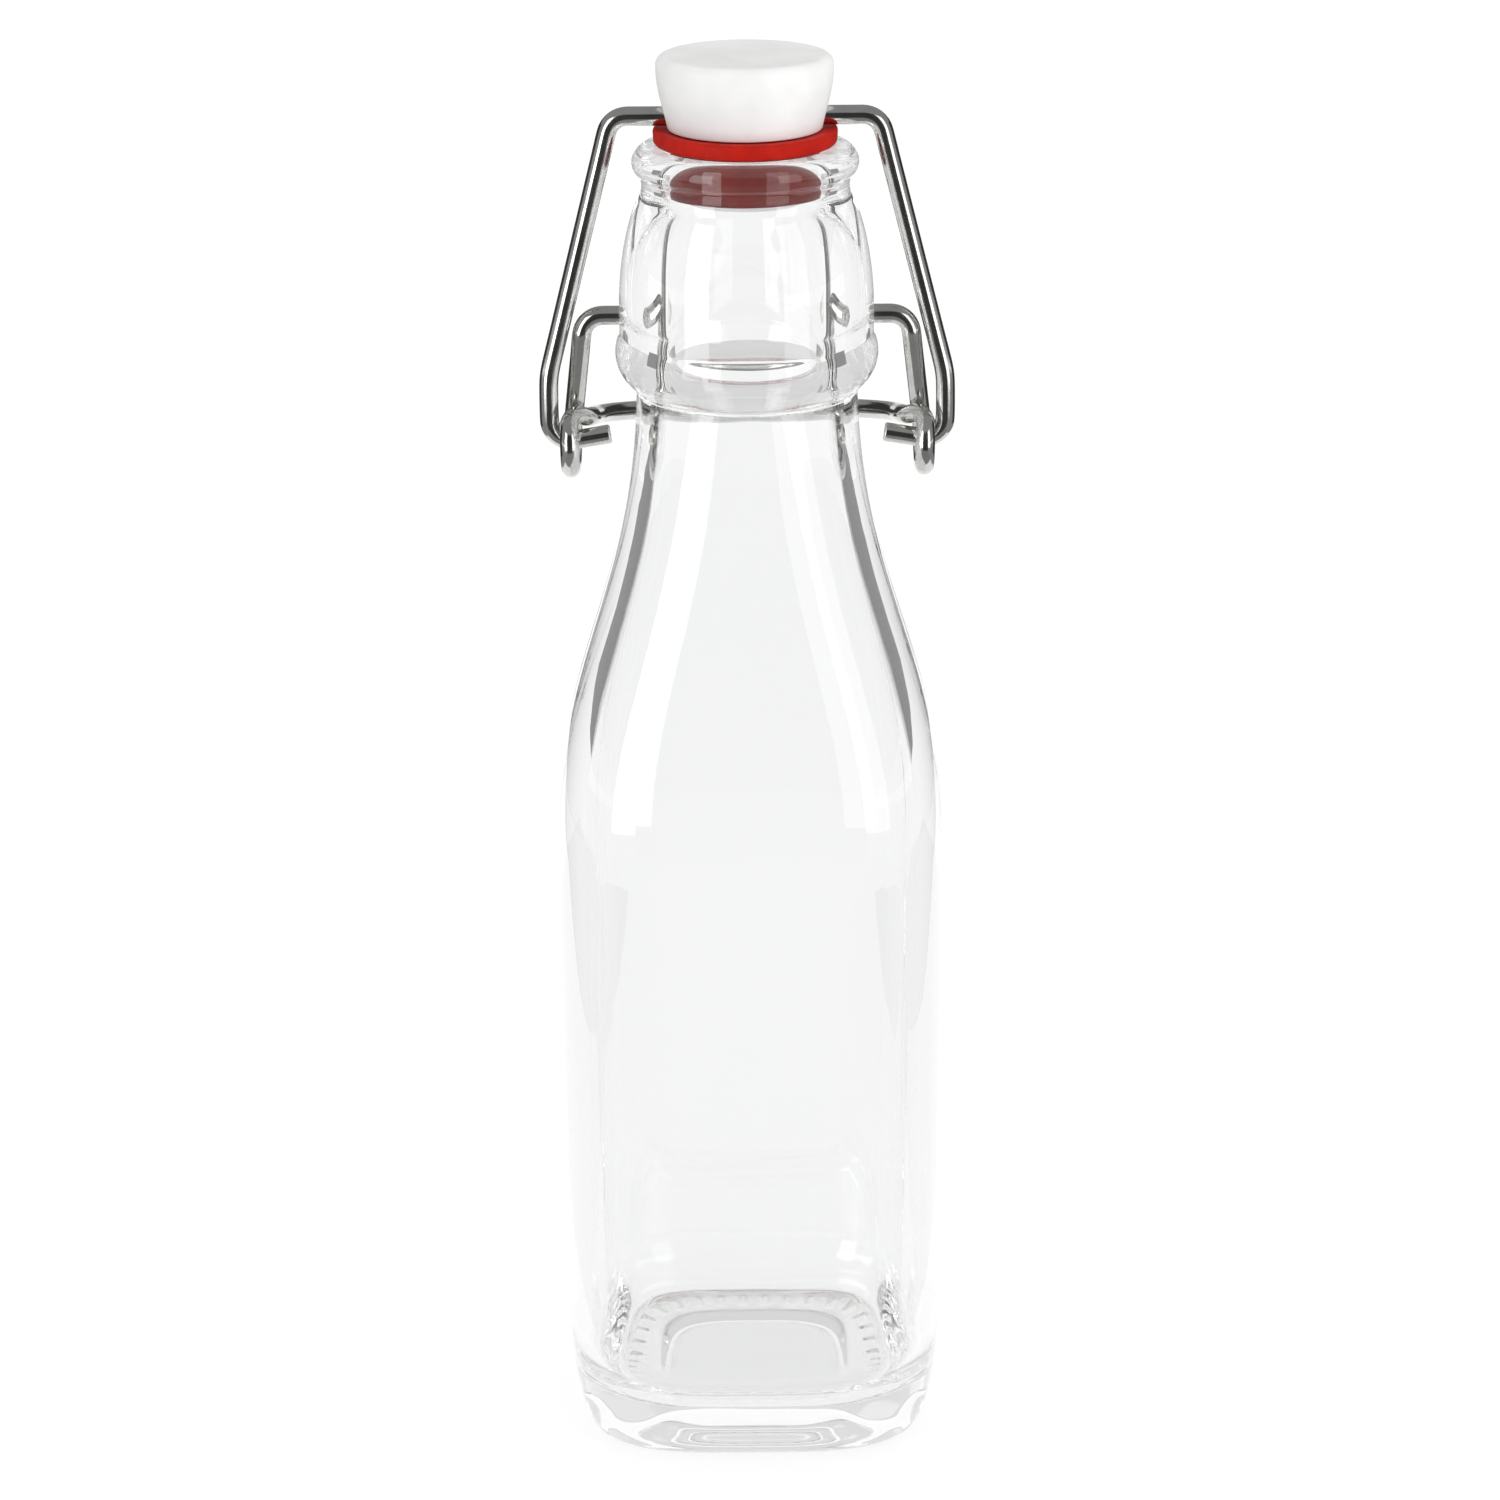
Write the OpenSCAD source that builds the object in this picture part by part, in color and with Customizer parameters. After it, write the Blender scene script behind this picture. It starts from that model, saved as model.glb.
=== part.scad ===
// Small swing-top bottle: a square glass bottle with a round neck, closed by a stopper on
// a wire bail that a wire lever pulls down. Millimetres, +Z up, the origin is the middle
// of the base on the surface that the bottle stands on. The lever's handle is at +Y, and
// every pivot runs along X. The bottle is shown shut and locked.

/* [Glass body] */
// Width across the flat sides
body_w = 55.2; // [54:0.1:57]
// Squareness of the body's section: 2 is round, more is squarer
body_square = 3.6; // [3:0.1:4.4]
// Height of the rounded heel
heel_h = 20; // [14:1:24]
// Width of the flat that the bottle stands on
base_w = 48.6; // [46:0.2:50]
// Height where the straight sides end and the shoulder begins
side_h = 90.5; // [86:0.5:94]
// Wall thickness of body, shoulder and neck
wall = 3; // [2.4:0.1:3.4]
// Height of the floor inside
floor_z = 5.6; // [4.6:0.1:7]
// Depth of the hollow panel under the base
panel_depth = 1.3; // [0.6:0.1:2]

/* [Glass neck and finish] */
// Height of the seam between neck and finish
seam_z = 154.8; // [153:0.1:156]
// Outer radius of the neck at the seam
neck_r = 15.6; // [15:0.1:16]
// Radius of the bore in the mouth
bore_r = 11.1; // [11:0.05:11.4]
// Radius of the straight band that holds the lever
finish_r = 17.88; // [17.5:0.01:18.2]
// Height of the rim that the seal rests on
rim_z = 189.6; // [189.2:0.1:190]

/* [Stopper and seal] */
// Height of the stopper's flat top
top_z = 202.1; // [201:0.1:203]
// Radius of the cap at its widest
cap_r = 12.3; // [11.8:0.1:12.6]
// Radius of the cap where it meets the seal
cap_foot_r = 10.75; // [10.5:0.05:11]
// Radius of the seal's flange
flange_r = 12.8; // [12.4:0.1:13]
// Thickness of the seal's flange
flange_t = 2.25; // [2:0.05:2.4]
// Radius of the seal's skirt in the mouth
skirt_r = 10.3; // [10:0.05:10.3]
// Length of the skirt below the flange
skirt_l = 6.8; // [6:0.1:6.8]

/* [Wires] */
// Diameter of both wires
wire_d = 2.7; // [2.5:0.05:2.7]
// Height of the lever's pivot in the glass
pivot_z = 165.5; // [165:0.1:166]
// Height of the bail's pivot in the lever's eyes
eye_pivot_z = 147.5; // [147:0.1:147.8]
// Distance from the middle to each of the lever's eyes
eye_x = 24.9; // [24.6:0.1:25.2]
// Slope of the bail's legs from upright, in degrees
bail_lean = 14.2; // [12:0.1:15]
// Slope of the bail's cut ends, in degrees
stub_lean = 9; // [4:1:10]
// Fall of the lever's handle behind the neck, in degrees
handle_dip = 11.9; // [9:0.1:12.5]

/* [Hidden] */

// Fineness of round solids, of the square sections and of curved outlines
$fn = 64;
SIDES = 48;
ARC_STEP = 7.5;
// A small length by which cutting solids overshoot
EPS = 0.05;

// --- Outline helpers: each gives points as [x, y] or [radius, height] ---

// Points on an arc, from angle a0 to a1
function arc(centre, r, a0, a1) =
    let (n = max(2, ceil(abs(a1 - a0) / ARC_STEP)))
    [for (i = [0:n]) let (a = a0 + (a1 - a0) * i / n) centre + r * [cos(a), sin(a)]];

// A point on a cubic curve through p0 and p3, with p1 and p2 setting its slopes
function cubic_at(p0, p1, p2, p3, t) =
    pow(1 - t, 3) * p0 + 3 * pow(1 - t, 2) * t * p1 + 3 * (1 - t) * t * t * p2 + pow(t, 3) * p3;

// Points along that curve
function cubic(p0, p1, p2, p3, n) = [for (i = [0:n]) cubic_at(p0, p1, p2, p3, i / n)];

// --- Square-to-round solids: each ring is [height, half width, squareness] ---

function section_r(half, square, a) =
    half / pow(pow(abs(cos(a)), square) + pow(abs(sin(a)), square), 1 / square);

function ring_points(ring) =
    [for (k = [0:SIDES - 1])
        let (a = 360 * k / SIDES, r = section_r(ring[1], ring[2], a))
        [r * cos(a), r * sin(a), ring[0]]];

// Joins rings, listed from the bottom up, into one closed solid
module loft(rings) {
    points = [for (ring = rings) each ring_points(ring)];
    last = len(rings) - 1;
    sides = [for (i = [0:last - 1], k = [0:SIDES - 1])
        let (a = i * SIDES + k, b = i * SIDES + (k + 1) % SIDES)
        each [[a, b + SIDES, b], [a, a + SIDES, b + SIDES]]];
    bottom = [for (k = [0:SIDES - 1]) k];
    top = [for (k = [SIDES - 1:-1:0]) last * SIDES + k];
    polyhedron(points, concat([bottom], sides, [top]));
}

// --- Glass ---

half_w = body_w / 2;
base_half = base_w / 2;
shoulder_foot = [half_w, side_h];
shoulder_head = [neck_r, seam_z];
// How far the body's sides and the neck's slope each carry on into the shoulder's curve
side_pull = 25.3;
neck_pull = 29;
neck_flare = 0.75;
shoulder_slopes = [[half_w, side_h + side_pull], [neck_r + neck_flare, seam_z - neck_pull]];
// The section goes from square to round as the shoulder narrows
ROUNDING = 0.56;
function shoulder_square(r) =
    2 + (body_square - 2) * pow(max(0, (r - neck_r) / (half_w - neck_r)), ROUNDING);

HEEL_STEPS = 6;
SHOULDER_STEPS = 15;

function heel_ring(a) =
    [heel_h * (1 - sin(a)), base_half + (half_w - base_half) * cos(a), body_square];

outer_rings = concat(
    [for (i = [0:HEEL_STEPS]) heel_ring(90 * (1 - i / HEEL_STEPS))],
    [for (p = cubic(shoulder_foot, shoulder_slopes[0], shoulder_slopes[1], shoulder_head,
                    SHOULDER_STEPS))
        [p[1], p[0], shoulder_square(p[0])]]);

// The cavity follows the outside at the wall's thickness, with a rounded corner at its floor
floor_round = 8;
floor_draw = 0.9;
cavity_top_z = 154;
function cavity_heel_ring(a) =
    [floor_z + floor_round * (1 - sin(a)),
     half_w - wall - floor_round * (1 - cos(a)) * floor_draw,
     body_square];

cavity_rings = concat(
    [for (i = [0:HEEL_STEPS]) cavity_heel_ring(90 * (1 - i / HEEL_STEPS))],
    [for (ring = outer_rings) if (ring[0] >= side_h && ring[0] < cavity_top_z - 1)
        [ring[0], ring[1] - wall, ring[2]]],
    [[cavity_top_z, neck_r + 0.25 - wall, 2]]);

// The hollow panel inside the ring that the bottle stands on
panel_half = 17.6;
panel_rings = [
    for (step = [[0, 0], [0.6, 0.4], [2.2, 0.85], [4.6, 1]])
        [step[1] > 0 ? panel_depth * step[1] : -EPS, panel_half - step[0], body_square]];

// The finish: a thick band with a bulge below it, a waist and a round lip
bulge = [12.7, 160.4];
bulge_r = 5.8;
band_z = 163.2;
lip_r = 2.3;
lip = [13.5, rim_z - lip_r];
waist_r = 3.4;
waist = [17.92, rim_z - 5.8];
entry_r = 1.3;
lip_angle = atan2(waist[1] - lip[1], waist[0] - lip[0]);

// The finish carries on inside the neck below the seam, and leaves a shallow crease at it
crease_r = neck_r - 0.45;
root_z = seam_z - 5;

finish_outline = concat(
    [[0, root_z], [crease_r, root_z]],
    arc(bulge, bulge_r, -64, 26),
    [[finish_r, band_z]],
    cubic([finish_r, band_z + 4.8], [finish_r, band_z + 9.8], [16.48, rim_z - 10.1],
          waist + waist_r * [cos(210), sin(210)], 8),
    arc(waist, waist_r, 205, 180 + lip_angle),
    arc(lip, lip_r, lip_angle, 90),
    [[0, rim_z]]);

bore_foot_r = neck_r - wall + 0.1;
bore_step = 2.5;

bore_outline = concat(
    [[0, cavity_top_z - 1], [bore_foot_r, cavity_top_z - 1]],
    cubic([bore_foot_r, cavity_top_z], [bore_foot_r, cavity_top_z + bore_step],
          [bore_r, cavity_top_z + bore_step], [bore_r, cavity_top_z + 2 * bore_step], 5),
    arc([bore_r + entry_r, rim_z - entry_r], entry_r, 180, 90),
    [[bore_r + entry_r, rim_z + 1], [0, rim_z + 1]]);

// Blind dimples for the lever's ends
pin_fit = 0.08;
dimple_end_x = 13.3;
dimple_r = wire_d / 2 + pin_fit;
dimple_mouth_r = 2.3;
dimple_mouth_x = 15.9;
dimple_mouth_l = finish_r - dimple_mouth_x + 0.6;

module dimple() {
    translate([dimple_end_x, 0, pivot_z])
        rotate([0, 90, 0])
            cylinder(h = finish_r, r = dimple_r);
    translate([dimple_mouth_x, 0, pivot_z])
        rotate([0, 90, 0])
            cylinder(h = dimple_mouth_l, r1 = dimple_r, r2 = dimple_mouth_r);
}

// Short radial flutes round the standing ring
KNURLS = 36;
knurl_half = 20;
knurl_l = 3.6;
knurl_r = 1;
knurl_depth = 0.4;

module knurls() {
    for (k = [0:KNURLS - 1]) {
        a = 360 * (k + 0.5) / KNURLS;
        r = section_r(knurl_half, body_square, a);
        nx = sign(cos(a)) * pow(abs(cos(a)), body_square - 1);
        ny = sign(sin(a)) * pow(abs(sin(a)), body_square - 1);
        translate([r * cos(a), r * sin(a), knurl_depth - knurl_r])
            rotate([0, 90, atan2(ny, nx)])
                cylinder(h = knurl_l, r = knurl_r, center = true);
    }
}

module glass_bottle() {
    color("azure", 0.35)
        difference() {
            union() {
                loft(outer_rings);
                rotate_extrude() polygon(finish_outline);
            }
            loft(cavity_rings);
            rotate_extrude() polygon(bore_outline);
            loft(panel_rings);
            knurls();
            for (side = [0, 1]) mirror([side, 0, 0]) dimple();
        }
}

// --- Stopper and seal ---

flange_gap = 0.1;
flange_z = rim_z + flange_gap;
cap_foot_z = flange_z + flange_t;
cap_wide_z = top_z - 2.4;
cap_round = 1.3;
stem_r = 6.5;
stem_fit = 0.05;
retainer_r = 7.8;
retainer_t = 1.7;
retainer_round = 1.1;
retainer_z = flange_z - skirt_l - retainer_t;
wire_hole_z = cap_foot_z + wire_d / 2 + 0.3;
wire_fit = 0.06;

module stopper() {
    outline = concat(
        [[0, retainer_z]],
        arc([retainer_r - retainer_round, retainer_z + retainer_round], retainer_round, -90, 0),
        [[retainer_r, retainer_z + retainer_t], [stem_r, retainer_z + retainer_t],
         [stem_r, cap_foot_z], [cap_foot_r, cap_foot_z]],
        cubic([cap_foot_r, cap_foot_z], [cap_foot_r + 0.55, cap_foot_z + 2.6],
              [cap_r - 0.15, cap_wide_z - 2.4], [cap_r, cap_wide_z], 6),
        arc([cap_r - cap_round, top_z - cap_round], cap_round, 0, 90),
        [[0, top_z]]);
    color("white")
        difference() {
            rotate_extrude() polygon(outline);
            translate([0, 0, wire_hole_z])
                rotate([0, 90, 0])
                    cylinder(h = 3 * cap_r, r = wire_d / 2 + wire_fit, center = true);
        }
}

module seal_ring() {
    skirt_z = flange_z - skirt_l;
    edge = 0.45;
    foot = 0.6;
    outline = concat(
        [[stem_r + stem_fit, skirt_z]],
        arc([skirt_r - 0.1 - foot, skirt_z + foot], foot, -90, 0),
        [[skirt_r, flange_z]],
        arc([flange_r - edge, flange_z + edge], edge, -90, 0),
        arc([flange_r - edge, cap_foot_z - edge], edge, 0, 90),
        [[stem_r + stem_fit, cap_foot_z]]);
    color("crimson")
        rotate_extrude() polygon(outline);
}

// --- Wires: each is drawn flat in X and Y, then stood up or tilted ---

wire_r = wire_d / 2;
// Bends are thicker by a hair, so that the runs between them end inside them
BEND_SWELL = 0.02;
LAP = 0.2;

// A straight run between two points, lapping into what lies beyond each end
module run(from, to, lap_from = LAP, lap_to = LAP) {
    d = to - from;
    start = from - lap_from * d / norm(d);
    translate([start[0], start[1], 0])
        rotate([0, 90, atan2(d[1], d[0])])
            cylinder(h = norm(d) + lap_from + lap_to, r = wire_r);
}

// A bend round a centre, from angle a0 up to a1
module bend(centre, radius, a0, a1, r = wire_r + BEND_SWELL) {
    translate([centre[0], centre[1], 0])
        rotate([0, 0, a0])
            rotate_extrude(angle = a1 - a0)
                translate([radius, 0])
                    circle(r = r);
}

// The eyes: rings at right angles to X, which the bail's cut ends hang in
eye_r = 3.65;
eye_wire_r = wire_r + 0.05;
hook_r = 3;
hook_z = eye_pivot_z + hook_r;
eye_top_z = hook_z + 0.35;
eye_z = eye_top_z - eye_r;
bail_out_x = eye_x + hook_r;

// The bail's legs: a wide bend above the hook, a straight slope and a tight bend at the top
wide_bend_r = 14;
wide_bend_z = 155;
top_bend_r = 3;
stub_l = 5.3;
leg_foot = [bail_out_x - wide_bend_r, wide_bend_z] + wide_bend_r * [cos(bail_lean), sin(bail_lean)];
bail_corner_x = leg_foot[0] - (wire_hole_z - leg_foot[1]) * tan(bail_lean);
top_bend_x = bail_corner_x - top_bend_r * tan((90 - bail_lean) / 2);
top_bend = [top_bend_x, wire_hole_z - top_bend_r];
hook_end = [eye_x, hook_z] + hook_r * [-sin(stub_lean), -cos(stub_lean)];

module bail_side() {
    bend(top_bend, top_bend_r, bail_lean, 90);
    run(top_bend + top_bend_r * [cos(bail_lean), sin(bail_lean)], leg_foot);
    bend([bail_out_x - wide_bend_r, wide_bend_z], wide_bend_r, 0, bail_lean);
    run([bail_out_x, wide_bend_z], [bail_out_x, hook_z]);
    bend([eye_x, hook_z], hook_r, -90 - stub_lean, 0);
    run(hook_end, hook_end + stub_l * [-cos(stub_lean), sin(stub_lean)], LAP, 0);
}

module stopper_wire() {
    color("silver")
        rotate([90, 0, 0]) {
            run([-top_bend_x, wire_hole_z], [top_bend_x, wire_hole_z]);
            for (side = [0, 1]) mirror([side, 0, 0]) bail_side();
        }
}

// The lever's arms: a pin in the dimple, a bend and a leg down to the eye
pin_end_x = dimple_end_x + 0.4;
arm_corner_x = 22.7;
arm_bend_r = 3;
arm_lean = atan((eye_x - arm_corner_x) / (pivot_z - eye_top_z));
arm_bend_x = arm_corner_x - arm_bend_r * tan((90 - arm_lean) / 2);
arm_bend = [arm_bend_x, pivot_z - arm_bend_r];

module lever_arm() {
    rotate([90, 0, 0]) {
        run([pin_end_x, pivot_z], [arm_bend_x, pivot_z], 0, LAP);
        bend(arm_bend, arm_bend_r, arm_lean, 90);
        run(arm_bend + arm_bend_r * [cos(arm_lean), sin(arm_lean)], [eye_x, eye_top_z], LAP, 0);
    }
    translate([eye_x, 0, eye_z])
        rotate([0, 90, 0])
            rotate_extrude()
                translate([eye_r, 0])
                    circle(r = eye_wire_r);
}

// The handle leaves the top of each eye inwards and goes round behind the neck
handle_from = 3;
handle_turn_r = 3;
handle_r = eye_x - handle_turn_r;
handle_lap = LAP / handle_r * 180 / PI;

module handle() {
    translate([0, -eye_r * sin(handle_from), eye_z + eye_r * cos(handle_from)])
        rotate([-handle_dip, 0, 0]) {
            for (side = [0, 1])
                mirror([side, 0, 0]) bend([eye_x, handle_turn_r], handle_turn_r, 180, 270);
            bend([0, handle_turn_r], handle_r, -handle_lap, 180 + handle_lap, wire_r);
        }
}

module locking_lever() {
    color("silver") {
        for (side = [0, 1]) mirror([side, 0, 0]) lever_arm();
        handle();
    }
}

glass_bottle();
stopper();
seal_ring();
stopper_wire();
locking_lever();
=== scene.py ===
"""Looks of the small swing-top bottle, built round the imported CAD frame.

Lengths in the shape functions are millimetres, as in the CAD model; meshes are made in metres.
"""

import math

import bpy
import numpy as np
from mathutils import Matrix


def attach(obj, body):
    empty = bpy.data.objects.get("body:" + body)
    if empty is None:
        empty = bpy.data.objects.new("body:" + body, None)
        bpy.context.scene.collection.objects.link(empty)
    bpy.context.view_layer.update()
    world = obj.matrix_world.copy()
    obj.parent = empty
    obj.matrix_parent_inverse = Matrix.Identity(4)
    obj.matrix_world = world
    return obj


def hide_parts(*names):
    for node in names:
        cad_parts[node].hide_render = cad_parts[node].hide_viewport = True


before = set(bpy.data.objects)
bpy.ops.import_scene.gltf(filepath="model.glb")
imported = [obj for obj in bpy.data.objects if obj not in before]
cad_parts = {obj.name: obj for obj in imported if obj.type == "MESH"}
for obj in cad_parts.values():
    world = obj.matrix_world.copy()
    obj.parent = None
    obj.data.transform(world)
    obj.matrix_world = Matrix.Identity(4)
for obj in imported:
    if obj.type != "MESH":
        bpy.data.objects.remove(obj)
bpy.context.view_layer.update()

MM = 0.001
SCENE = bpy.context.scene


# ---------------------------------------------------------------- mesh helpers

def link(obj):
    SCENE.collection.objects.link(obj)
    return obj


def add_mesh(name, points, faces, uvs=None):
    """An object from points in millimetres, smooth shaded. uvs gives one pair per face corner."""
    mesh = bpy.data.meshes.new(name)
    mesh.from_pydata([tuple(float(c) * MM for c in p) for p in points], [], faces)
    mesh.update()
    for polygon in mesh.polygons:
        polygon.use_smooth = True
    if uvs is not None:
        layer = mesh.uv_layers.new(name="UVMap")
        layer.data.foreach_set("uv", np.asarray(uvs, np.float32).ravel())
    return link(bpy.data.objects.new(name, mesh))


def apply_modifiers(obj):
    """Replaces the object's mesh by what its modifiers make of it."""
    graph = bpy.context.evaluated_depsgraph_get()
    mesh = bpy.data.meshes.new_from_object(obj.evaluated_get(graph))
    old = obj.data
    obj.modifiers.clear()
    obj.data = mesh
    mesh.name = obj.name
    bpy.data.meshes.remove(old)


def cut(obj, cutters):
    """Takes the cutters out of the object."""
    for cutter in cutters:
        modifier = obj.modifiers.new("cut", "BOOLEAN")
        modifier.operation = "DIFFERENCE"
        modifier.solver = "EXACT"
        modifier.object = cutter
    apply_modifiers(obj)
    for cutter in cutters:
        mesh = cutter.data
        bpy.data.objects.remove(cutter)
        bpy.data.meshes.remove(mesh)


def sharpen(obj, degrees):
    obj.data.set_sharp_from_angle(angle=math.radians(degrees))


def arc(cx, cy, r, a0, a1, n):
    """n + 1 points on an arc, angles in degrees."""
    t = np.radians(np.linspace(a0, a1, n + 1))
    return [(cx + r * math.cos(a), cy + r * math.sin(a)) for a in t]


def cubic(p0, p1, p2, p3, n):
    """n + 1 points on a cubic curve."""
    p0, p1, p2, p3 = map(np.array, (p0, p1, p2, p3))
    t = np.linspace(0, 1, n + 1)[:, None]
    points = (1 - t) ** 3 * p0 + 3 * (1 - t) ** 2 * t * p1 + 3 * (1 - t) * t * t * p2 + t ** 3 * p3
    return [tuple(p) for p in points]


def ring_faces(rows, columns, closed_ends):
    """Quads between rings of columns points; closed_ends adds fans to two last points.
    The faces look outwards where the rings run upwards round the outside."""
    faces = []
    for i in range(rows - 1):
        a, b = i * columns, (i + 1) * columns
        for k in range(columns):
            n = (k + 1) % columns
            faces.append((a + k, a + n, b + n, b + k))
    if closed_ends:
        first, last = rows * columns, rows * columns + 1
        top = (rows - 1) * columns
        for k in range(columns):
            n = (k + 1) % columns
            faces.append((first, n, k))
            faces.append((last, top + k, top + n))
    return faces


def lathe(name, outline, columns=160, closed=False):
    """Turns an outline of (radius, height) about Z. The first and last points lie on the axis,
    or the outline is a closed loop."""
    body = list(outline) if closed else list(outline[1:-1])
    turn = np.arange(columns) * 2 * math.pi / columns
    points = [(r * math.cos(a), r * math.sin(a), z) for r, z in body for a in turn]
    if closed:
        faces = ring_faces(len(body), columns, False)
        a, b = (len(body) - 1) * columns, 0
        for k in range(columns):
            n = (k + 1) % columns
            faces.append((a + k, a + n, b + n, b + k))
    else:
        points += [(0, 0, outline[0][1]), (0, 0, outline[-1][1])]
        faces = ring_faces(len(body), columns, True)
    return add_mesh(name, points, faces)


def smooth_path(points, step=0.35):
    """A smooth curve through the points (centripetal Catmull-Rom), in steps of about step mm."""
    p = [np.array(q, float) for q in points]
    p = [2 * p[0] - p[1]] + p + [2 * p[-1] - p[-2]]
    out = []
    for i in range(1, len(p) - 2):
        a, b, c, d = p[i - 1:i + 3]
        t0 = 0.0
        t1 = t0 + math.sqrt(np.linalg.norm(b - a))
        t2 = t1 + math.sqrt(np.linalg.norm(c - b))
        t3 = t2 + math.sqrt(np.linalg.norm(d - c))
        n = max(1, int(round(np.linalg.norm(c - b) / step)))
        for t in np.linspace(t1, t2, n + 1)[:-1]:
            a1 = (t1 - t) / (t1 - t0) * a + (t - t0) / (t1 - t0) * b
            a2 = (t2 - t) / (t2 - t1) * b + (t - t1) / (t2 - t1) * c
            a3 = (t3 - t) / (t3 - t2) * c + (t - t2) / (t3 - t2) * d
            b1 = (t2 - t) / (t2 - t0) * a1 + (t - t0) / (t2 - t0) * a2
            b2 = (t3 - t) / (t3 - t1) * a2 + (t - t1) / (t3 - t1) * a3
            out.append((t2 - t) / (t2 - t1) * b1 + (t - t1) / (t2 - t1) * b2)
    out.append(p[-2])
    return np.array(out)


def sweep(name, path, radius, columns=28, chamfer=0.22):
    """A round wire along a path, with cut ends broken by a small chamfer."""
    path = np.array(path, float)
    step = np.linalg.norm(np.diff(path, axis=0), axis=1)
    keep = np.concatenate([[True], step > 1e-6])
    path = path[keep]
    tangent = np.gradient(path, axis=0)
    tangent /= np.linalg.norm(tangent, axis=1)[:, None]
    first = path[0] + tangent[0] * chamfer
    last = path[-1] - tangent[-1] * chamfer
    inner = path[(np.linalg.norm(path - path[0], axis=1) > 1.6 * chamfer)
                 & (np.linalg.norm(path - path[-1], axis=1) > 1.6 * chamfer)]
    spine = np.vstack([path[:1], first[None], inner, last[None], path[-1:]])
    radii = np.full(len(spine), radius)
    radii[0] = radii[-1] = radius - chamfer
    tangent = np.gradient(spine, axis=0)
    tangent /= np.linalg.norm(tangent, axis=1)[:, None]
    normal = np.cross(tangent[0], [0.0, 1.0, 0.0])
    if np.linalg.norm(normal) < 0.1:
        normal = np.cross(tangent[0], [0.0, 0.0, 1.0])
    normal /= np.linalg.norm(normal)
    turn = np.arange(columns) * 2 * math.pi / columns
    points = []
    for i, centre in enumerate(spine):
        normal = normal - tangent[i] * np.dot(normal, tangent[i])
        normal /= np.linalg.norm(normal)
        other = np.cross(tangent[i], normal)
        for a in turn:
            points.append(centre + radii[i] * (math.cos(a) * normal + math.sin(a) * other))
    points += [spine[0], spine[-1]]
    faces = ring_faces(len(spine), columns, True)
    along = np.concatenate([[0], np.cumsum(np.linalg.norm(np.diff(spine, axis=0), axis=1))])
    uvs = []
    rows = len(spine)
    for face in faces:
        ks = [v % columns if v < rows * columns else 0 for v in face]
        wrap = max(ks) - min(ks) > columns / 2
        for v, k in zip(face, ks):
            if v >= rows * columns:
                row = 0 if v == rows * columns else rows - 1
            else:
                row = v // columns
            uvs.append(((k + columns if wrap and k < columns / 2 else k) / columns,
                        along[row] / 10))
    return add_mesh(name, points, faces, uvs)


def mirror_x(points):
    return [(-x, y, z) for x, y, z in points]


# ---------------------------------------------------------------- glass bottle

COLUMNS = 288
HALF, SQUARE = 27.6, 3.6
SIDE_Z, NECK_R, SEAM_Z = 90.5, 15.6, 154.8
WALL, FLOOR_Z = 3.0, 5.6
BORE_R, RIM_Z, BAND_R, PIVOT_Z = 11.1, 189.6, 17.88, 165.5
PANEL_Z, HEEL_H, BASE_HALF = 1.3, 20, 24.3
# The short flutes in the standing ring, and the rings of the mesh that carry them
KNURLS, KNURL_HALF, KNURL_H, KNURL_REACH = 36, 20, 0.16, 1.95
KNURL_FROM, KNURL_TO = 18, 23.6
# The mould's seam line up two opposite sides, and how far the blown inside wanders
SEAM_LINE_H, SEAM_LINE_HALF_W, WANDER = 0.05, 0.55, 0.05
# Where the blind dimples end inside the glass
DIMPLE_END = 13.3


def shoulder_square(r):
    return 2 + (SQUARE - 2) * max(0.0, (r - NECK_R) / (HALF - NECK_R)) ** 0.56


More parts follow.
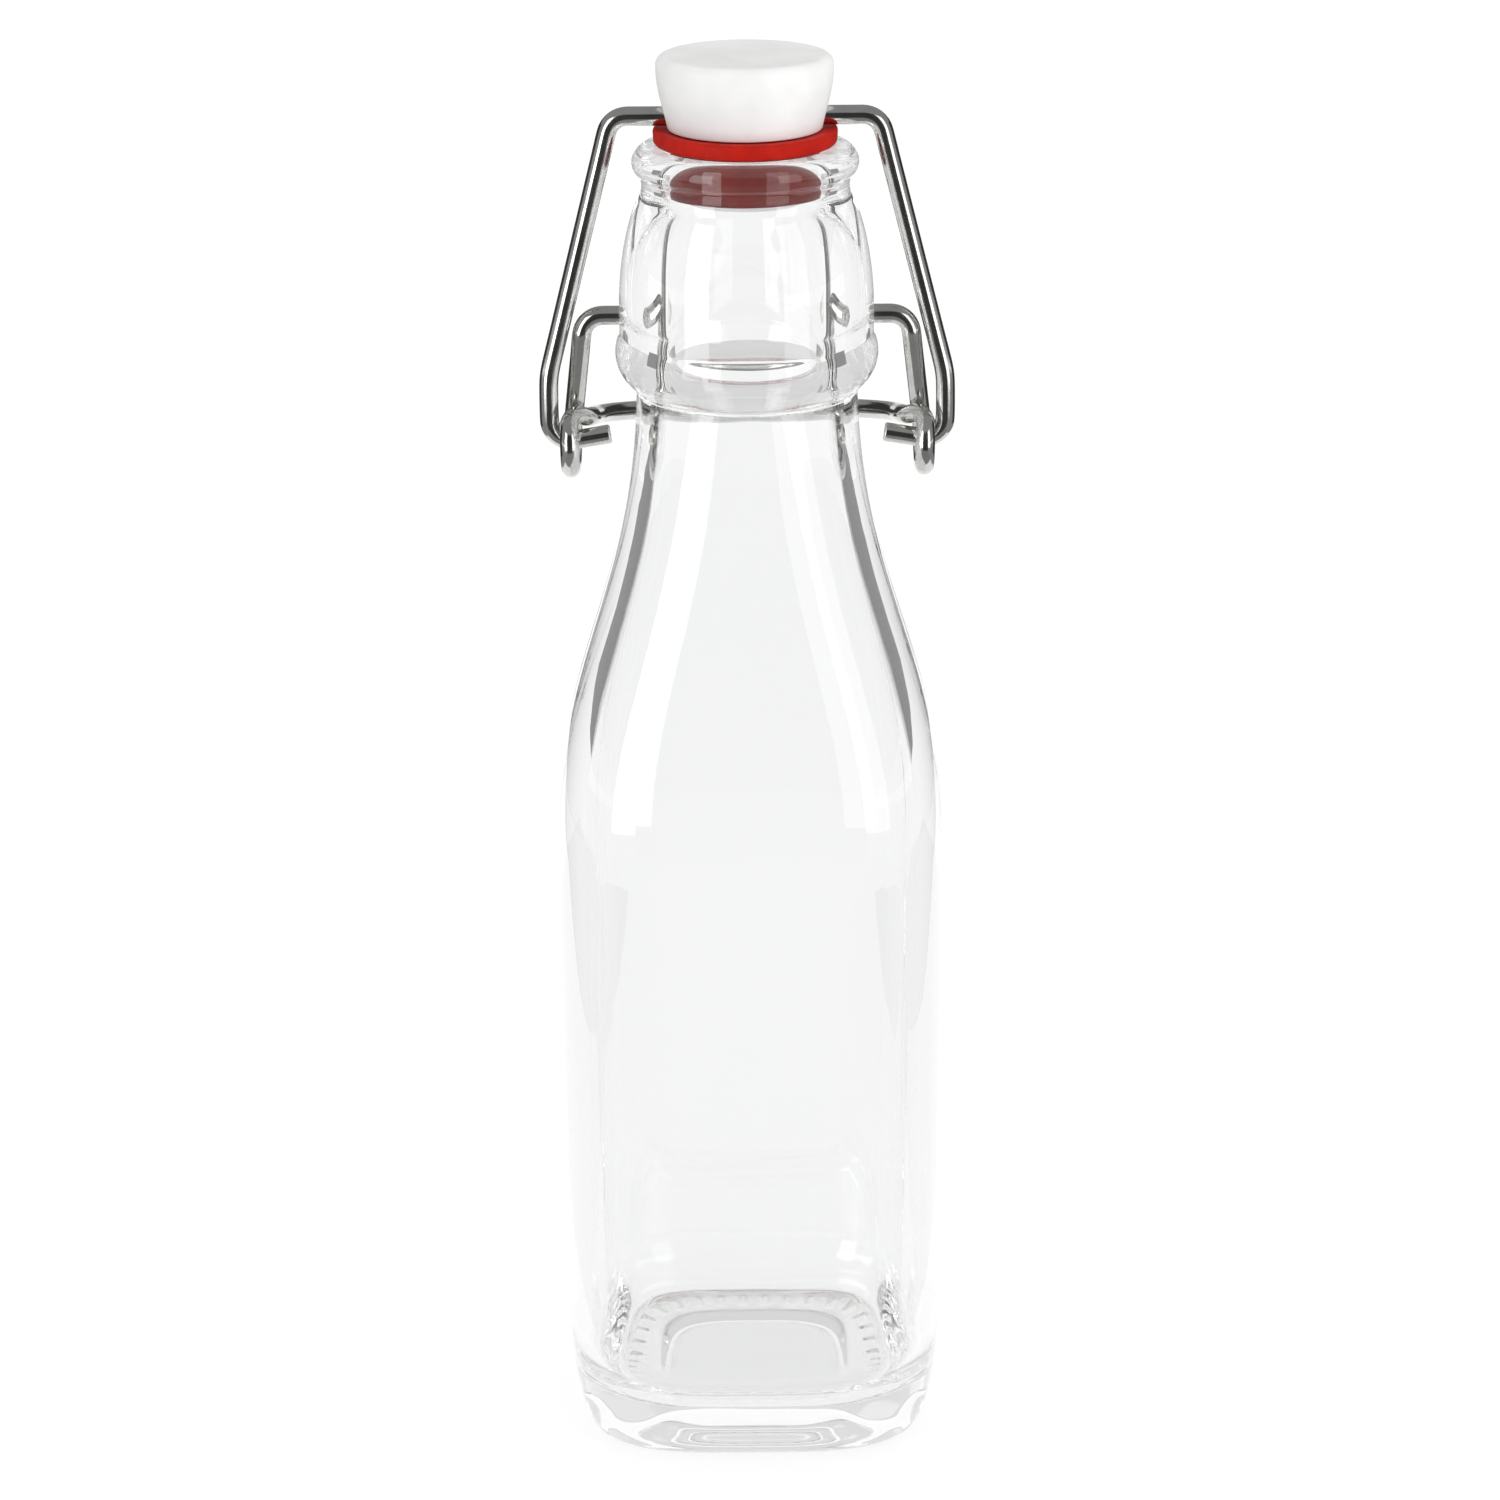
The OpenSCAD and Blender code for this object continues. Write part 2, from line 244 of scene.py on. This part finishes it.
def glass_rings():
    """Rings of (half width, height, squareness) over the whole skin: from the middle of the
    underside, up the outside, over the rim and down the inside to the middle of the floor."""
    rings = [(r, PANEL_Z, SQUARE) for r in (3, 6, 8.5)]
    rings += [(r, z, SQUARE) for r, z in cubic((10.5, PANEL_Z), (14, PANEL_Z), (14.2, 0),
                                               (17.7, 0), 20)]
    rings += [(r, 0, SQUARE) for r in np.linspace(KNURL_FROM, KNURL_TO, 20)]
    rings += [(BASE_HALF + 3.3 * math.cos(t), HEEL_H * (1 - math.sin(t)), SQUARE)
              for t in np.radians(np.linspace(90, 0, 30))]
    rings += [(HALF, z, SQUARE) for z in np.linspace(HEEL_H, SIDE_Z, 40)[1:-1]]
    outside = cubic((HALF, SIDE_Z), (HALF, SIDE_Z + 25.3), (NECK_R + 0.75, SEAM_Z - 29),
                    (NECK_R, SEAM_Z), 70)
    rings += [(r, z, shoulder_square(r)) for r, z in outside]
    lip_angle = math.degrees(math.atan2(RIM_Z - 5.8 - (RIM_Z - 2.3), 17.92 - 13.5))
    finish = [(NECK_R - 0.32, SEAM_Z + 0.06), (NECK_R - 0.4, SEAM_Z + 0.25)]
    finish += arc(12.7, 160.4, 5.8, -62, 26, 22)
    finish += [(BAND_R, z) for z in np.linspace(163.2, 166.6, 7)]
    finish += cubic((BAND_R, 167), (BAND_R, 173), (16.48, RIM_Z - 10.1),
                    (17.92 + 3.4 * math.cos(math.radians(210)),
                     RIM_Z - 5.8 + 3.4 * math.sin(math.radians(210))), 24)
    finish += arc(17.92, RIM_Z - 5.8, 3.4, 205, 180 + lip_angle, 14)
    finish += arc(13.5, RIM_Z - 2.3, 2.3, lip_angle + 4, 90, 20)
    finish += [(13.0, RIM_Z), (12.7, RIM_Z)]
    finish += arc(BORE_R + 1.3, RIM_Z - 1.3, 1.3, 90, 180, 12)
    finish += [(BORE_R, z) for z in np.linspace(RIM_Z - 2, 161.5, 50)]
    finish += cubic((BORE_R, 160.6), (BORE_R, 157.8), (NECK_R - WALL, 157.2),
                    (NECK_R - WALL, 154.4), 14)
    rings += [(r, z, 2) for r, z in finish]
    rings += [(r - WALL, z, shoulder_square(r)) for r, z in reversed(outside) if z < 153.6]
    rings += [(HALF - WALL, z, SQUARE) for z in np.linspace(SIDE_Z, 15.6, 40)[1:]]
    rings += [(r, z, SQUARE) for r, z in cubic((HALF - WALL, 15.4), (HALF - WALL, 7.6),
                                               (20.4, FLOOR_Z), (11.5, FLOOR_Z - 0.05), 34)]
    rings += [(r, FLOOR_Z - 0.1, SQUARE) for r in (9, 6, 3)]
    return rings


def inner_wave(a, z):
    """How far the blown inside wanders from its true shape, in millimetres outwards."""
    low = math.sin(2 * a + 0.7 + z / 31) + 0.7 * math.sin(3 * a + 2.1 - z / 17)
    high = 0.35 * math.sin(5 * a + z / 8.5) + 0.25 * math.sin(z / 4.3 + 2 * math.sin(a))
    return WANDER * (low + high)


def knurl_lift(x, y, a):
    """Height of the short radial flutes in the ring that the bottle stands on."""
    k = math.floor(a / (2 * math.pi) * KNURLS) + 0.5
    middle = 2 * math.pi * k / KNURLS
    half = KNURL_HALF / (abs(math.cos(middle)) ** SQUARE
                         + abs(math.sin(middle)) ** SQUARE) ** (1 / SQUARE)
    cx, cy = half * math.cos(middle), half * math.sin(middle)
    nx = math.copysign(abs(math.cos(middle)) ** (SQUARE - 1), math.cos(middle))
    ny = math.copysign(abs(math.sin(middle)) ** (SQUARE - 1), math.sin(middle))
    length = math.hypot(nx, ny)
    nx, ny = nx / length, ny / length
    out = (x - cx) * nx + (y - cy) * ny
    across = -(x - cx) * ny + (y - cy) * nx
    swell = 0.5 + 0.5 * math.cos(math.pi * min(1.0, abs(across)))
    return KNURL_H * swell * max(0.0, min(1.0, (KNURL_REACH - abs(out)) / 0.35))


def make_glass():
    rings = glass_rings()
    radii = np.array([r for r, z, n in rings])
    heights = np.array([z for r, z, n in rings])
    peak = int(np.argmax(heights))
    points = []
    for i, (half, z, n) in enumerate(rings):
        for k in range(COLUMNS):
            a = 2 * math.pi * k / COLUMNS
            r = half / (abs(math.cos(a)) ** n + abs(math.sin(a)) ** n) ** (1 / n)
            height = z
            if i < peak:
                if z == 0 and KNURL_FROM <= half <= KNURL_TO:
                    height = knurl_lift(r * math.cos(a), r * math.sin(a), a)
                if 24 < z < 150:
                    r += SEAM_LINE_H * math.exp(
                        -(abs(math.sin(a)) * r / SEAM_LINE_HALF_W) ** 2)
            else:
                fade = min(1.0, max(0.0, (RIM_Z - 4 - z) / 12)) * min(1.0, half / 15)
                r += inner_wave(a, z) * fade
            points.append((r * math.cos(a), r * math.sin(a), height))
    points += [(0, 0, PANEL_Z), (0, 0, FLOOR_Z - 0.1)]
    glass = add_mesh("glass_body", points, ring_faces(len(rings), COLUMNS, True))
    cutters = []
    for side in (-1, 1):
        outline = [(0, DIMPLE_END), (1.2, DIMPLE_END)] + arc(1.18, 13.55, 0.25, -90, 0, 4)
        outline += [(1.43, 15.7)] + arc(1.75, 15.75, 0.32, 180, 120, 4)
        outline += [(2.35, 17.9), (2.75, 18.6), (0, 18.6)]
        cutter = lathe("cutter", outline, 40)
        for v in cutter.data.vertices:
            x, y, z = v.co
            v.co = (side * z, side * y, x + PIVOT_Z * MM)
        cutters.append(cutter)
    cut(glass, cutters)
    sharpen(glass, 38)
    return glass


# ---------------------------------------------------------------- stopper and seal

FLANGE_Z = RIM_Z + 0.1
FOOT_Z = FLANGE_Z + 2.25
TOP_Z = 202.1
HOLE_Z = FOOT_Z + 1.65
WIRE_R = 1.35


def make_stopper():
    bottom = FLANGE_Z - 6.8 - 1.7
    outline = [(0, bottom + 0.5), (2.2, bottom + 0.5), (2.5, bottom + 0.1)]
    outline += [(3.4, bottom), (5.5, bottom)]
    outline += arc(6.7, bottom + 1.1, 1.1, -80, 0, 8)
    outline += [(7.8, bottom + 1.5), (7.6, bottom + 1.7), (6.6, bottom + 1.7)]
    outline += [(6.5, bottom + 1.8), (6.5, FOOT_Z - 0.15), (10.55, FOOT_Z - 0.02)]
    outline += arc(10.55, FOOT_Z + 0.2, 0.2, -80, -10, 4)
    outline += cubic((10.77, FOOT_Z + 0.3), (11.3, FOOT_Z + 2.6), (12.15, TOP_Z - 4.8),
                     (12.27, TOP_Z - 2.5), 20)
    outline += arc(12.3 - 1.35, TOP_Z - 1.35, 1.35, 6, 88, 16)
    outline += [(10.6, TOP_Z - 0.01), (10.1, TOP_Z - 0.05), (8, TOP_Z - 0.12), (4, TOP_Z - 0.16),
                (1.5, TOP_Z - 0.17), (0, TOP_Z - 0.17)]
    stopper = lathe("stopper_cap", outline, 192)
    hole = lathe("cutter", [(0, -14), (1.75, -14), (1.42, -10.9), (1.41, -9), (1.41, 9),
                            (1.42, 10.9), (1.75, 14), (0, 14)], 48)
    for v in hole.data.vertices:
        x, y, z = v.co
        v.co = (z, y, -x + HOLE_Z * MM)
    cut(stopper, [hole])
    sharpen(stopper, 40)
    return stopper


def make_seal():
    skirt = FLANGE_Z - 6.8
    outline = [(6.55, skirt + 0.1), (6.75, skirt)]
    outline += arc(9.6, skirt + 0.6, 0.6, -90, 0, 8)
    outline += [(10.22, skirt + 1.6), (10.3, FLANGE_Z - 1.6), (10.45, FLANGE_Z - 0.5)]
    outline += [(10.75, FLANGE_Z - 0.02), (11.6, FLANGE_Z + 0.02)]
    outline += arc(12.25, FLANGE_Z + 0.55, 0.5, -90, 0, 8)
    outline += arc(12.25, FOOT_Z - 0.55, 0.55, 0, 90, 8)
    outline += [(11.6, FOOT_Z - 0.06), (10.9, FOOT_Z - 0.14), (10.0, FOOT_Z - 0.16),
                (6.8, FOOT_Z - 0.17), (6.55, FOOT_Z - 0.3)]
    seal = lathe("seal", outline, 192, closed=True)
    for v in seal.data.vertices:
        x, y, z = (c / MM for c in v.co)
        r, a = math.hypot(x, y), math.atan2(y, x)
        if r > 11:
            swell = 1 + 0.0035 * math.sin(3 * a + 0.6) + 0.002 * math.sin(7 * a)
            lift = 0.05 * math.sin(2 * a + 1.1) * (r - 11)
            v.co = (x * swell * MM, y * swell * MM, (z + lift) * MM)
    sharpen(seal, 50)
    return seal


# ---------------------------------------------------------------- wires

EYE_X, HOOK_Z, EYE_R = 24.9, 150.5, 3.65
EYE_Z = HOOK_Z + 0.35 - EYE_R
# Slopes of the bail's cut ends and legs, of the lever's arms and of its handle, in degrees
STUB_LEAN, LEG_LEAN, ARM_LEAN, HANDLE_DIP = 9, 14.2, 8.35, 11.9
# Radii of the small bends and of the bail's wide bend; where that bend begins and ends
BEND_R, WIDE_BEND_R, WIDE_BEND_Z, LEG_FOOT_X, LEG_FOOT_Z = 3, 14, 155, 27.47, 158.43
ARM_CORNER_X = 22.7


def make_bail():
    """One bent wire: cut end, hook, leg, crossbar through the stopper, and the same again."""
    lean = math.radians(STUB_LEAN)
    hook = [(EYE_X + BEND_R * math.cos(t), 0, HOOK_Z + BEND_R * math.sin(t))
            for t in np.linspace(-math.pi / 2 - lean, 0, 12)]
    foot = hook[0]
    stub = [(foot[0] - s * math.cos(lean), 0.02 * s, foot[2] + s * math.sin(lean))
            for s in (5.2, 4, 2.7, 1.3)]
    side = [(27.92, 0, 152.6), (27.9, 0, WIDE_BEND_Z)]
    side += [(13.9 + WIDE_BEND_R * math.cos(t), 0, WIDE_BEND_Z + WIDE_BEND_R * math.sin(t))
             for t in np.radians([4.5, 9.4, LEG_LEAN])]
    corner = LEG_FOOT_X - (HOLE_Z - LEG_FOOT_Z) * math.tan(math.radians(LEG_LEAN))
    bend_x = corner - BEND_R * math.tan(math.radians((90 - LEG_LEAN) / 2))
    top = [(bend_x + BEND_R * math.cos(t), 0, HOLE_Z - BEND_R + BEND_R * math.sin(t))
           for t in np.radians(np.linspace(LEG_LEAN, 90, 9))]
    foot_x, foot_z = side[-1][0], side[-1][2]
    leg = [(foot_x + (top[0][0] - foot_x) * f, 0, foot_z + (top[0][2] - foot_z) * f)
           for f in (0.15, 0.35, 0.55, 0.75, 0.92)]
    half = stub + hook + side + leg + top + [(bend_x - 1, 0, HOLE_Z), (10, 0, HOLE_Z)]
    points = half + [(0, 0, HOLE_Z)] + mirror_x(half)[::-1]
    return sweep("bail_wire", smooth_path(points), WIRE_R)


def make_lever():
    """One bent wire: pin, leg, a turn round the eye, the handle behind the neck, and back."""
    pin = [(13.75, 0, PIVOT_Z), (15, 0, PIVOT_Z), (17, 0, PIVOT_Z), (19, 0, PIVOT_Z)]
    lean = math.radians(ARM_LEAN)
    bend_x = ARM_CORNER_X - BEND_R * math.tan((math.pi / 2 - lean) / 2)
    bend = [(bend_x + BEND_R * math.cos(t), 0, PIVOT_Z - BEND_R + BEND_R * math.sin(t))
            for t in np.linspace(math.pi / 2, lean, 8)]
    top = bend[-1]
    slant = math.radians(13)
    join = (EYE_X - 0.1, EYE_R * math.cos(slant), EYE_Z + EYE_R * math.sin(slant))
    leg = [tuple(top[c] + (join[c] - top[c]) * f for c in range(3)) for f in (0.2, 0.45, 0.7, 0.88)]
    turn = [(EYE_X - 0.1 + 0.25 * i / 12, EYE_R * math.cos(t), EYE_Z + EYE_R * math.sin(t))
            for i, t in enumerate(np.radians(np.linspace(13, -236, 13)))]
    dip = math.radians(HANDLE_DIP)
    head_z = HOOK_Z + 0.35

    def on_plane(x, y):
        return (x, -0.19 + y * math.cos(dip), head_z - y * math.sin(dip))

    away = [(24.55, -0.75, head_z + 0.12), (23.7, 0.15, head_z + 0.15)]
    away += [on_plane(22.75, 1.35), on_plane(22.15, 2.9)]
    sweep_r = EYE_X - BEND_R
    handle = [on_plane(sweep_r * math.cos(t), BEND_R + sweep_r * math.sin(t))
              for t in np.radians(np.linspace(6, 90, 15))]
    half = pin + bend + leg + turn + away + handle
    points = half + mirror_x(half)[::-1][1:]
    return sweep("lever_wire", smooth_path(points), WIRE_R)


# ---------------------------------------------------------------- materials

class Nodes:
    """A small helper over a material's node tree."""

    def __init__(self, name):
        self.material = bpy.data.materials.new(name)
        self.material.use_nodes = True
        self.tree = self.material.node_tree
        self.tree.nodes.clear()

    def add(self, kind, inputs=(), **settings):
        node = self.tree.nodes.new(kind)
        for key, value in settings.items():
            setattr(node, key, value)
        for key, value in dict(inputs).items():
            if isinstance(value, bpy.types.NodeSocket):
                self.tree.links.new(value, node.inputs[key])
            else:
                node.inputs[key].default_value = value
        return node

    def noise(self, vector, scale, detail=3.0, roughness=0.5):
        return self.add("ShaderNodeTexNoise", {"Vector": vector, "Scale": scale, "Detail": detail,
                                               "Roughness": roughness}).outputs["Fac"]

    def span(self, value, low, high, from_low=0.3, from_high=0.7):
        node = self.add("ShaderNodeMapRange", {"Value": value, "From Min": from_low,
                                               "From Max": from_high, "To Min": low,
                                               "To Max": high})
        return node.outputs[0]

    def ramp(self, value, stops):
        node = self.add("ShaderNodeValToRGB", {"Fac": value})
        elements = node.color_ramp.elements
        while len(elements) < len(stops):
            elements.new(0.5)
        for element, (position, colour) in zip(elements, stops):
            element.position = position
            element.color = (*colour, 1)
        return node.outputs["Color"]

    def bump(self, height, strength, distance):
        return self.add("ShaderNodeBump", {"Height": height, "Strength": strength,
                                           "Distance": distance}).outputs["Normal"]

    def place(self):
        return self.add("ShaderNodeTexCoord").outputs["Object"]

    def output(self, shader):
        self.add("ShaderNodeOutputMaterial", {"Surface": shader})
        return self.material


def glass_material():
    n = Nodes("clear_glass")
    place = n.place()
    wave = n.noise(place, 90.0, 2.0)
    normal = n.bump(wave, 0.06, 0.0006)
    smear = n.noise(place, 45.0, 4.0, 0.6)
    rough = n.span(smear, 0.0, 0.012, 0.5, 0.8)
    shader = n.add("ShaderNodeBsdfPrincipled", {
        "Base Color": (0.952, 0.956, 0.954, 1), "Roughness": rough, "IOR": 1.5,
        "Transmission Weight": 1.0, "Normal": normal})
    clear = n.add("ShaderNodeBsdfTransparent", {"Color": (0.97, 0.975, 0.972, 1)})
    path = n.add("ShaderNodeLightPath")
    mix = n.add("ShaderNodeMixShader", {0: path.outputs["Is Shadow Ray"],
                                        1: shader.outputs[0], 2: clear.outputs[0]})
    return n.output(mix.outputs[0])


def plastic_material():
    n = Nodes("white_plastic")
    place = n.place()
    cloud = n.noise(place, 160.0, 4.0)
    colour = n.ramp(cloud, [(0.35, (0.765, 0.765, 0.76)), (0.62, (0.82, 0.82, 0.81))])
    speck = n.noise(place, 900.0, 2.0, 0.7)
    rough = n.span(speck, 0.42, 0.58)
    normal = n.bump(n.noise(place, 2600.0, 3.0), 0.12, 0.00004)
    shader = n.add("ShaderNodeBsdfPrincipled", {
        "Base Color": colour, "Roughness": rough, "Normal": normal,
        "Subsurface Weight": 0.25, "Subsurface Radius": (1.0, 0.95, 0.9),
        "Subsurface Scale": 0.0012})
    return n.output(shader.outputs[0])


def rubber_material():
    """Red rubber, with painted shade that darkens the skirt sitting in the mouth."""
    n = Nodes("red_rubber")
    place = n.place()
    height = n.add("ShaderNodeSeparateXYZ", {"Vector": place}).outputs["Z"]
    cloud = n.noise(place, 240.0, 3.0)
    bright = n.ramp(cloud, [(0.35, (0.38, 0.006, 0.001)), (0.65, (0.49, 0.009, 0.0015))])
    # Painted shade: a darker copy of the red for the skirt below the flange, standing in for the
    # shade inside the mouth
    skirt_painted_shade = n.ramp(cloud, [(0.35, (0.12, 0.004, 0.001)), (0.65, (0.155, 0.006, 0.0015))])
    above = n.span(height, 0.0, 1.0, (FLANGE_Z - 0.4) * MM, (FLANGE_Z + 0.2) * MM)
    mix = n.add("ShaderNodeMix", {0: above}, data_type="RGBA")
    n.tree.links.new(skirt_painted_shade, mix.inputs[6])
    n.tree.links.new(bright, mix.inputs[7])
    rough = n.span(n.noise(place, 1200.0, 3.0), 0.45, 0.6)
    normal = n.bump(n.noise(place, 1800.0, 3.0), 0.2, 0.00005)
    shader = n.add("ShaderNodeBsdfPrincipled", {
        "Base Color": mix.outputs[2], "Roughness": rough, "Normal": normal,
        "Specular IOR Level": 0.12})
    return n.output(shader.outputs[0])


def steel_material(name, tint):
    n = Nodes(name)
    uv = n.add("ShaderNodeUVMap", uv_map="UVMap").outputs["UV"]
    stretch = n.add("ShaderNodeMapping", {"Vector": uv, "Scale": (46.0, 0.5, 1.0)}).outputs[0]
    drawn = n.noise(stretch, 3.0, 4.0, 0.6)
    patch = n.noise(n.place(), 260.0, 4.0, 0.6)
    colour = n.ramp(patch, [(0.3, tuple(0.86 * c for c in tint)), (0.7, tint)])
    rough = n.span(patch, 0.1, 0.17)
    normal = n.bump(drawn, 0.1, 0.00003)
    shader = n.add("ShaderNodeBsdfPrincipled", {
        "Base Color": colour, "Metallic": 1.0, "Roughness": rough, "Normal": normal})
    return n.output(shader.outputs[0])


def dress(obj, material, body, node):
    obj.data.materials.clear()
    obj.data.materials.append(material)
    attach(obj, body)
    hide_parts(node)


dress(make_glass(), glass_material(), "bottle", "glass_bottle")
dress(make_stopper(), plastic_material(), "plug", "stopper")
dress(make_seal(), rubber_material(), "plug", "seal_ring")
dress(make_bail(), steel_material("bail_steel", (0.70, 0.70, 0.68)), "bail",
      "stopper_wire")
dress(make_lever(), steel_material("lever_steel", (0.68, 0.68, 0.66)), "lever",
      "locking_lever")


# ---------------------------------------------------------------- stage, light and camera

# Brightness 1 is the white of the floor. The floor glows by itself and is painted a little
FLOOR_HALF, FLOOR_Z_MM, FLOOR_GLOW, FLOOR_PAINT = 6000, -0.3, 0.78, 0.24
MAT_Z = -0.2
# The bands in the shoulders reflect upright cards far enough back that no straight view
# through the bottle from 15 degrees above meets them
BAND_CARD_R, DARK_CARD_R = 800, 360
BAND_VALUE, DARK_VALUE = 0.26, 0.04
# Brightness of the world by kind of ray. Blender calls refracted rays glossy too, so
# transmission comes last and overrides it
WORLD_VALUES = ((None, 1.0), ("Is Diffuse Ray", 1.05), ("Is Glossy Ray", 0.3),
                ("Is Transmission Ray", 0.75))
SENSOR_W, LENS_TO_SENSOR = 36.0, 2.98
CAMERA_PLACE, CAMERA_DOWN, CAMERA_ROLL = (0.0, -0.6103, 0.3152), 19.35, -0.46
# Light that goes round inside the thick glass needs many turns before it comes out
LIGHT_TURNS = 96


def glow_material(name, value, diffuse=0.0):
    n = Nodes(name)
    shader = n.add("ShaderNodeEmission", {"Color": (1, 1, 1, 1), "Strength": value}).outputs[0]
    if diffuse:
        paint = n.add("ShaderNodeBsdfDiffuse", {"Color": (diffuse, diffuse, diffuse, 1)})
        shader = n.add("ShaderNodeAddShader", {0: shader, 1: paint.outputs[0]}).outputs[0]
    return n.output(shader)


def make_floor():
    corners = ((-1, -1), (1, -1), (1, 1), (-1, 1))
    points = [(x * FLOOR_HALF, y * FLOOR_HALF, FLOOR_Z_MM) for x, y in corners]
    floor = add_mesh("floor", points, [(0, 1, 2, 3)])
    floor.data.materials.append(glow_material("floor_white", FLOOR_GLOW, FLOOR_PAINT))


def bent(radius, from_angle, to_angle):
    """Floor points on an arc round the object. Angles run from -Y, positive towards +X."""
    return [(radius * math.sin(a), -radius * math.cos(a))
            for a in np.radians(np.linspace(from_angle, to_angle, 24))]


def make_card(name, foot, low, high, value, seen_by):
    """An upright card over the floor points, seen only in the glass or only in reflections."""
    points, faces = [], []
    for i, (x, y) in enumerate(foot):
        points += [(x, y, low), (x, y, high)]
        if i:
            k = 2 * i
            faces.append((k - 2, k, k + 1, k - 1))
    hide_card(add_mesh(name, points, faces), value, seen_by)


def make_mat(name, x_from, x_to, y_from, y_to, value, seen_by):
    """A level card lying just above the floor."""
    corners = ((x_from, y_from), (x_to, y_from), (x_to, y_to), (x_from, y_to))
    points = [(x, y, MAT_Z) for x, y in corners]
    hide_card(add_mesh(name, points, [(0, 1, 2, 3)]), value, seen_by)


def hide_card(card, value, seen_by):
    """Hides the card from all rays but those bent by glass, or those reflected ("glossy")."""
    card.data.materials.append(glow_material(card.name, value))
    card.visible_camera = False
    card.visible_diffuse = False
    card.visible_shadow = False
    card.visible_volume_scatter = False
    card.visible_glossy = seen_by == "glossy"
    card.visible_transmission = seen_by == "glass"


def make_light(name, azimuth, distance, width, low, high, radiance, lights_surfaces):
    """A softbox facing the object. radiance is its brightness where the floor's white is 1.
    lights_surfaces is False where it only shows as a reflection."""
    a = math.radians(azimuth)
    height = high - low
    data = bpy.data.lights.new(name, "AREA")
    data.shape = "RECTANGLE"
    data.size, data.size_y = width, height
    data.energy = radiance * math.pi * width * height
    light = link(bpy.data.objects.new(name, data))
    light.location = (distance * math.sin(a), -distance * math.cos(a), (low + high) / 2)
    light.rotation_euler = (math.pi / 2, 0, a)
    light.visible_camera = False
    light.visible_diffuse = lights_surfaces


def make_world():
    world = bpy.data.worlds.new("studio")
    SCENE.world = world
    world.use_nodes = True
    tree = world.node_tree
    tree.nodes.clear()
    path = tree.nodes.new("ShaderNodeLightPath")
    shader = None
    for ray, strength in WORLD_VALUES:
        glow = tree.nodes.new("ShaderNodeBackground")
        glow.inputs["Color"].default_value = (1, 1, 1, 1)
        glow.inputs["Strength"].default_value = strength
        if ray is None:
            shader = glow.outputs[0]
            continue
        mix = tree.nodes.new("ShaderNodeMixShader")
        tree.links.new(path.outputs[ray], mix.inputs[0])
        tree.links.new(shader, mix.inputs[1])
        tree.links.new(glow.outputs[0], mix.inputs[2])
        shader = mix.outputs[0]
    out = tree.nodes.new("ShaderNodeOutputWorld")
    tree.links.new(shader, out.inputs["Surface"])


def make_camera():
    data = bpy.data.cameras.new("camera")
    data.sensor_width = SENSOR_W
    data.lens = SENSOR_W * LENS_TO_SENSOR
    camera = link(bpy.data.objects.new("camera", data))
    camera.location = CAMERA_PLACE
    camera.rotation_mode = "ZYX"
    camera.rotation_euler = (math.radians(90 - CAMERA_DOWN), 0, math.radians(CAMERA_ROLL))
    SCENE.camera = camera


make_floor()
for name, side in (("left", -1), ("right", 1)):
    make_card(f"{name}_edge_card", bent(BAND_CARD_R, side * 118, side * 145),
              low=0, high=300, value=BAND_VALUE, seen_by="glass")
    make_mat(f"{name}_near_mat", *sorted((side * 60, side * 290)),
             y_from=-200, y_to=200, value=0.96, seen_by="glass")
    make_mat(f"{name}_far_mat", *sorted((side * 180, side * 1500)),
             y_from=-1200, y_to=1200, value=0.3, seen_by="glossy")
    make_card(f"{name}_dark_card", bent(DARK_CARD_R, side * 98, side * 165),
              low=0, high=300, value=DARK_VALUE, seen_by="glossy")
make_card("front_dark_card", bent(DARK_CARD_R, -33, 33),
          low=0, high=420, value=DARK_VALUE, seen_by="glossy")
make_mat("front_mat", -200, 200, y_from=-360, y_to=-40, value=0.25, seen_by="glossy")
make_light("left_softbox", azimuth=-44, distance=0.62, width=0.28, low=0.0, high=0.6,
           radiance=2.9, lights_surfaces=False)
make_light("right_softbox", azimuth=42, distance=0.62, width=0.34, low=0.0, high=0.6,
           radiance=1.6, lights_surfaces=True)
make_world()
make_camera()
SCENE.view_settings.view_transform = "Standard"
SCENE.cycles.max_bounces = LIGHT_TURNS
SCENE.cycles.glossy_bounces = LIGHT_TURNS
SCENE.cycles.transmission_bounces = LIGHT_TURNS
